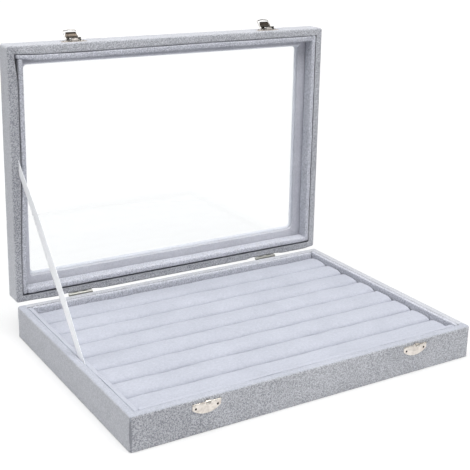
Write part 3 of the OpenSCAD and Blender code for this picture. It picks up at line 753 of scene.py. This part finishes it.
# The lid's rails show only in the slits behind the lining: they are painted near black as the shade
# there, the back one in the dark velvet.
dress(slit_shadow, "lid_front_rail", "lid_left_rail", "lid_right_rail")
dress(shaded_velvet, "lid_back_rail")
dress(fold_velvet, "window_frame")

# ---- Underside ----
# A sheet of flocked paper glued over the bottom board, so that the box slides on a counter
# without a scratch.

flock = velvet(
    "underside_flock", (0.17, 0.18, 0.20), (0.30, 0.31, 0.33), 900.0,
    cloud=0.3, crush=0.2, sheen=0.1, bump=0.2,
)
dress(flock, "underside_felt")

# ---- Card under the rolls ----
# Grey card that the foam rolls are glued to side by side. It lies on the tray's floor, a
# loose fit inside the lining.

board = Finish("grey_card")
fibre = board.noise(board.stretched(board.place(), (1.0, 0.3, 1.0)), 1300.0, 3.0, 0.6)
grey_card = board.end(
    board.principled(
        Base_Color=board.mix(fibre.band(0.3, 0.7), (0.24, 0.25, 0.27), (0.36, 0.37, 0.40)),
        Roughness=0.85,
        Normal=board.bump(fibre, 0.05 * MM, 0.5),
    )
)
dress(grey_card, "roll_tray_card")

# ---- Lining ----
# Foam strips in smooth velvet, pushed in along the walls of the tray and of the lid. A slit
# stays open behind each one, and takes the ribbon on the left.

LINER_DROP, FLOOR_Z = apart(strip_high[2], BASE_H), box_mm("base_floor_panel")[1][2]
BAR_END, BAR_STEPS, BAR_PITCH = 2.0, 40, 3.0
SLIPPED, END_SLIPPED_LESS, DRAWN_BACK = 2.9, 0.2, 4.4
RUN_ON, SQUEEZED, RIGHT_IN = 3.3, 0.3, 0.4
# Front, back, left and right: thickness, power of the section, shift of tone all over, how much
# painted light the sides get.
BASE_STRIPS = (
    (4.1, 14.0, 0.0, 0.6),
    (4.0, 8.0, 0.0, 0.0),
    (4.1, 14.0, 0.0, 0.6),
    (4.0, 8.0, 0.0, 0.0),
)
LID_STRIPS = (
    (6.0, 4.5, -0.16, 0.0),
    (5.8, 4.5, 0.0, 0.0),
    (5.0, 4.5, -0.16, 0.0),
    (5.4, 4.5, -0.03, 0.0),
)
roll_velvet = velvet(
    "roll_velvet", (0.38, 0.395, 0.45), (0.53, 0.545, 0.61), 520.0, cloud=0.25, crush=0.25, bump=0.2
)
# front gives the lining a painted highlight where it faces front.
liner_velvet = velvet(
    "liner_velvet", (0.24, 0.25, 0.285), (0.64, 0.65, 0.71), 800.0,
    crush=0.11, bump=0.4, lay=0.15, front=0.22,
)


def superellipse(across, up, power, steps):
    """Closed curve |x/across|^power + |y/up|^power = 1 as (x, y) rows."""
    t = np.linspace(0.0, 2.0 * np.pi, steps + 1)[:-1]
    turn = np.column_stack([np.cos(t), np.sin(t)])
    return np.array([across, up]) * np.sign(turn) * np.abs(turn) ** (2.0 / power)


def stuffed_bar(length, across, up, power):
    """Bar along X with a superelliptic section that closes to a point at each soft end."""
    section = superellipse(across / 2, up / 2, power, BAR_STEPS)
    straight = length / 2 - BAR_END
    body = np.linspace(-straight, straight, int(length / BAR_PITCH))
    cap = np.radians(np.linspace(0.0, 90.0, 9))[1:]
    reach = straight + BAR_END * np.sin(cap)
    x = np.concatenate([-reach[::-1], body, reach])
    pull = across / 2 * (1.0 - np.cos(cap) ** (2.0 / 3.0))
    pull = np.concatenate([pull[::-1], np.zeros(len(body)), pull])
    keep = 1.0 - pull[:, None] / np.array([across / 2, up / 2])
    keep[[0, -1]] = 0.0
    along = np.repeat(x[:, None, None], BAR_STEPS, 1)
    return np.concatenate([along, section * keep[:, None]], -1)


def settle(bar, side, thick):
    """Sets a strip of the lid as it has been glued. The front one follows the rim, and its left
    end is squeezed thinner and runs on. The left one has slipped off its rail over its front
    half, with its end drawn back. The right one stands in a little."""
    if side == 0:
        left_end = 1.0 - eased(bar[..., 0], -160.0, -142.0)
        bar[..., 1] += SQUEEZED * left_end * (thick / 2 - bar[..., 1]) - front_swell(bar[..., 0])
        bar[..., 0] -= RUN_ON * left_end
    if side == 2:
        from_front = bar[..., 0] + DEPTH / 2
        front_end = 1.0 - eased(from_front, 8.0, 40.0)
        front_half = 1.0 - eased(from_front, 105.0, 205.0)
        bar[..., 1] -= SLIPPED * front_half - END_SLIPPED_LESS * front_end
        bar[..., 0] += DRAWN_BACK * front_end
    if side == 3:
        bar[..., 1] -= RIGHT_IN


def lay_liner(side, bar, middle, thick):
    """Moves a bar drawn along X to its wall, by the side's place in SIDES, at a middle height."""
    along, out, up = bar[..., 0], bar[..., 1], bar[..., 2] + middle
    far = (DEPTH if side < 2 else WIDTH) / 2 - LINER_OUT - thick / 2 + 0.2
    sign = -1.0 if side in (0, 2) else 1.0
    if side < 2:
        return np.stack([along, sign * (far + out), up], -1)
    return np.stack([sign * (far + out), along, up], -1)


def strip_painted_shading(tone_shift, lighter):
    """Light and shade painted on a strip: one shift of tone all over, and painted light where it
    turns down at the sides, against the shade of the slits.
    """
    return lambda corner, facing: tone_shift + lighter * (1.0 - eased(facing[2], 0.5, 0.98))


for body, strips, low, high, seed in (
    ("base", BASE_STRIPS, FLOOR_Z + 0.1, BASE_H - LINER_DROP / 2, 40),
    ("lid", LID_STRIPS, RIM_Z - 0.2, RIM_Z + PAD_LOW - 0.1, 50),
):
    for side, (thick, power, tone_shift, lighter) in enumerate(strips):
        length = (WIDTH - 2 * ROOM_IN if side < 2 else DEPTH - 2 * LINER_OUT) - 0.4
        bar = stuffed_bar(length, thick, high - low, power)
        off_ends = np.abs(bar[..., 0]) < length / 2 - 2 * BAR_END
        bar[..., 1] += ripple(bar, 0.10, 40.0, seed + side) * off_ends
        bar[..., 2] += ripple(bar, 0.12, 55.0, seed + side + 5) * (bar[..., 2] > 0)
        if body == "lid":
            settle(bar, side, thick)
        shape = lay_liner(side, bar, (low + high) / 2, thick)
        if body == "lid":
            shape = opened(shape)
        name = "%s_liner_%s" % (body, SIDES[side])
        cloth = roll_velvet if lighter else liner_velvet
        piece = add_piece("soft_" + name, shape, grid_faces(*bar.shape[:2], False, True), cloth)
        tidy_normals(piece)
        store_facing_and_shading(piece, strip_painted_shading(tone_shift, lighter))
        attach(piece, body)
        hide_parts(name)

# ---- Ring rolls ----
# Soft foam bars, flat below and round on top, each in a sleeve of smooth velvet. They lie
# side by side, and rings are pushed in between their shoulders.

ROLLS = sum(name.startswith("ring_roll_") for name in nodes)
ROLL_Z, CREST = (corner[2] for corner in box_mm("ring_roll_1"))
DOME, SHOULDER = 0.7, 4.0
ROLL_PITCH = (DEPTH - 2 * ROOM_IN - 0.2) / ROLLS
ROLL_W, ROLL_LEN = ROLL_PITCH - 0.1, WIDTH - 2 * ROOM_IN - 0.9
UNPUFFED, SOFT_END, LUMPS_FROM = 0.35, 2.0, 18.0
PRESSURE, PUFF_CAP, PUFF_FRAMES = 1.5, 0.5, 14


def roll_section(width, low, crest):
    """Flat foot, upright sides and a cushion top, with u from -1 to 1 across it:
    z = crest - DOME u^2 - SHOULDER (1 - sqrt(1 - |u|^5))."""
    a = width / 2
    u = np.sin(np.radians(np.linspace(90.0, -90.0, 27)))
    fall = DOME * u**2 + SHOULDER * (1.0 - np.sqrt(np.maximum(0.0, 1.0 - np.abs(u) ** 5)))
    crown = np.column_stack([a * u, crest - fall])
    side = np.linspace(crest - DOME - SHOULDER, low + 0.8, 5)[1:]
    left = np.column_stack([np.full(4, -a), side])
    foot = np.column_stack([np.linspace(-a + 0.8, a - 0.8, 9), np.full(9, low)])
    right = np.column_stack([np.full(4, a), side[::-1]])
    return np.concatenate([crown, left, foot, right])


def puff(piece):
    """Blows the piece up a little as cloth, and lets no corner move more than PUFF_CAP."""
    start = np.empty(len(piece.data.vertices) * 3)
    piece.data.vertices.foreach_get("co", start)
    start = start.reshape(-1, 3)
    cloth = piece.modifiers.new("puff", "CLOTH")
    cloth.settings.quality = 4
    cloth.settings.use_pressure = True
    cloth.settings.uniform_pressure_force = PRESSURE
    cloth.settings.tension_stiffness = 25.0
    cloth.settings.compression_stiffness = 20.0
    cloth.settings.bending_stiffness = 3.0
    cloth.settings.effector_weights.gravity = 0.0
    cloth.collision_settings.use_collision = False
    cloth.point_cache.frame_start = 1
    cloth.point_cache.frame_end = PUFF_FRAMES
    for at_frame in range(1, PUFF_FRAMES + 1):
        scene.frame_set(at_frame)
    graph = bpy.context.evaluated_depsgraph_get()
    swollen = piece.evaluated_get(graph).to_mesh()
    end = np.empty(len(swollen.vertices) * 3)
    swollen.vertices.foreach_get("co", end)
    piece.evaluated_get(graph).to_mesh_clear()
    move = end.reshape(-1, 3) - start
    size = np.linalg.norm(move, axis=1, keepdims=True)
    cap = PUFF_CAP * MM
    move *= np.minimum(1.0, cap * np.tanh(size / cap) / np.maximum(size, 1e-9))
    piece.modifiers.remove(cloth)
    scene.frame_set(1)
    piece.data.vertices.foreach_set("co", (start + move).ravel())
    piece.data.update()


section = roll_section(ROLL_W - 2 * UNPUFFED, ROLL_Z + 0.2, CREST - 0.1)
straight = ROLL_LEN / 2 - SOFT_END
middle = np.linspace(-straight, straight, 80)[1:-1]
cap = np.radians(np.linspace(90.0, 0.0, 5))
reach = straight + SOFT_END * np.sin(cap)
x = np.concatenate([-reach, middle, reach[::-1]])
pull = SOFT_END * (1.0 - np.cos(cap))
pull = np.concatenate([pull, np.zeros(len(middle)), pull[::-1]])
heart = np.array([0.0, (ROLL_Z + CREST) / 2])
spoke = section - heart
rings = heart + spoke * (1.0 - pull[:, None] / np.linalg.norm(spoke, axis=1))[..., None]
rings[[0, -1]] = heart
plain = np.concatenate([np.repeat(x[:, None, None], len(section), 1), rings], -1)
for k in range(ROLLS):
    shape = plain.copy()
    lumps = ripple(shape, 0.16, 38.0, 70 + k) + ripple(shape, 0.07, 13.0, 90 + k)
    shape[..., 2] += lumps * (shape[..., 2] > LUMPS_FROM)
    shape[..., 1] += (k - (ROLLS - 1) / 2) * ROLL_PITCH
    name = "ring_roll_%d" % (k + 1)
    roll = add_piece("soft_" + name, shape, grid_faces(*shape.shape[:2], False, True), roll_velvet)
    tidy_normals(roll)
    puff(roll)
    fine = roll.modifiers.new("fine", "SUBSURF")
    fine.levels = fine.render_levels = 1
    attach(roll, "base")
    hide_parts(name)

core = Finish("open_foam")
cells = core.node("ShaderNodeTexVoronoi", inputs={"Vector": core.place(), "Scale": 900.0})
foam = core.end(
    core.principled(
        Base_Color=core.mix(cells.band(0.1, 0.7), (0.45, 0.45, 0.41), (0.72, 0.72, 0.67)),
        Roughness=0.95,
        Normal=core.bump(cells, 0.3 * MM, 0.7),
    )
)
dress(foam, "roll_foam_cores")

# ---- Ribbon stay ----
# A length of white satin ribbon, its ends tucked in the slits behind the left lining of tray
# and lid. It stops the lid upright.

RIBBON_W, RIBBON_T, RIBBON_X, TUCK = 10.0, 0.22, -(WIDTH / 2 - WALL_IN - 0.2), 8.0
FOOT_Y, HEAD_UP, BOW, WAVE, TWIST = -15.0, 136.0, 1.3, 0.5, math.radians(9.0)
ribbon_low = np.array([RIBBON_X, FOOT_Y, BASE_H - LINER_DROP])
ribbon_high = np.array([RIBBON_X, HINGE_Y + RIM_Z - HINGE_Z, HINGE_Z + HEAD_UP])
run = ribbon_high - ribbon_low
run_length = float(np.linalg.norm(run))
run /= run_length
along = np.linspace(-TUCK, run_length + TUCK, 91)
across = np.linspace(-RIBBON_W / 2, RIBBON_W / 2, 9)
free = np.clip(along / run_length, 0.0, 1.0)
bow = np.sin(np.pi * free)
twist = TWIST * bow**2
turned = np.stack([np.sin(twist), -run[2] * np.cos(twist), run[1] * np.cos(twist)], -1)
band = ribbon_low + along[:, None, None] * run + across[:, None] * turned[:, None]
band[..., 0] += (BOW * bow**2 + WAVE * np.sin(3.0 * np.pi * free) * bow)[:, None]
satin = Finish("white_satin")
place = satin.place()
threads = satin.node(
    "ShaderNodeTexWave",
    {"wave_type": "BANDS", "bands_direction": "DIAGONAL"},
    {"Vector": satin.stretched(place, (0.0, 1.0, 1.0)), "Scale": 1500.0, "Distortion": 1.0},
)
weave = satin.noise(satin.stretched(place, (1.0, 1.0, 0.3)), 1600.0, 2.0)
ribbon_satin = satin.end(
    satin.principled(
        Base_Color=satin.mix(weave.band(0.3, 0.7), (0.80, 0.81, 0.84), (0.92, 0.93, 0.95)),
        Roughness=weave * 0.15 + 0.35,
        Sheen_Weight=0.4,
        Sheen_Roughness=0.3,
        Normal=satin.bump(threads * 0.5 + weave * 0.5, 0.03 * MM, 0.5),
    )
)
ribbon = add_piece("ribbon_stay", band, grid_faces(*band.shape[:2]), ribbon_satin)
thick = ribbon.modifiers.new("thickness", "SOLIDIFY")
thick.thickness = RIBBON_T * MM
thick.offset = 0.0
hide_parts("stay_ribbon")
RIBBON_W * MM
(run_length + 2 * TUCK) * MM
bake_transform(ribbon)

# ---- Hinges ----
# Small pressed butt hinges on the back, each a pair of thin leaves rolled round a steel pin
# and nailed on with round heads.


def plated(name, colour, worn, rough, tint=0.5, metallic=1.0, blotch=260.0):
    """Plate with faint drawing lines, soft tarnish clouds and small dents. tint sets how far it
    is worn to the second colour, and blotch how small the clouds are."""
    metal = Finish(name)
    place = metal.place()
    lines = metal.noise(metal.stretched(place, (0.15, 1.0, 1.0)), 2600.0, 2.0, 0.6)
    tarnish = metal.noise(place, blotch, 4.0, 0.6, 0.3)
    return metal.end(
        metal.principled(
            Base_Color=metal.mix(tarnish.band(0.42, 0.78) * tint, colour, worn),
            Metallic=metallic,
            Roughness=lines * 0.10 + tarnish * 0.12 + rough,
            Normal=metal.bump(lines * 0.3 + tarnish * 0.7, 0.03 * MM, 0.5),
        )
    )


steel = plated("plain_steel", (0.42, 0.42, 0.39), (0.22, 0.215, 0.19), 0.28)
for side in ("left", "right"):
    dress(steel, "hinge_base_leaf_" + side, "hinge_lid_leaf_" + side, "hinge_pin_" + side)
dress(steel, "base_hinge_nails", "lid_hinge_nails")

# ---- Draw latches ----
# Stamped plates nailed to the fronts of lid and tray: a duckbill lever pinned on the lid's
# plate, with a bent wire bail in its cheeks that drops behind the hook of the tray's plate.

nickel = plated(
    "warm_nickel", (0.80, 0.745, 0.69), (0.46, 0.40, 0.35), 0.22, tint=0.8, metallic=0.65
)
bright_nickel = plated("bright_nickel", (0.66, 0.63, 0.58), (0.20, 0.17, 0.14), 0.14, tint=0.9)
# Near-black copy of the nickel for the levers, painted as the shade they sit in and the dark
# surroundings they mirror.
shaded_lever_metal = plated(
    "shaded_lever_nickel", (0.075, 0.062, 0.05), (0.012, 0.01, 0.008), 0.10, tint=1.0, blotch=420.0
)
wire = plated("bail_wire", (0.46, 0.45, 0.43), (0.16, 0.15, 0.14), 0.15, tint=0.8)
dark_nail = plated("dark_nail", (0.06, 0.048, 0.04), (0.02, 0.016, 0.013), 0.3)


def curled_up(centre):
    """The strike's hook and the beads beside it, polished where the bending drew them."""
    return (centre[:, 1] < -DEPTH / 2 - 0.75) | (centre[:, 2] > BASE_H - 3.9)


for side in ("left", "right"):
    dress(nickel, "strike_plate_" + side, "latch_plate_" + side)
    paint(nodes["strike_plate_" + side], bright_nickel, curled_up)
    dress(shaded_lever_metal, "latch_lever_" + side)
    dress(wire, "latch_bail_" + side)
    dress(steel, "latch_pin_" + side)
dress(dark_nail, "strike_nails", "latch_plate_nails")
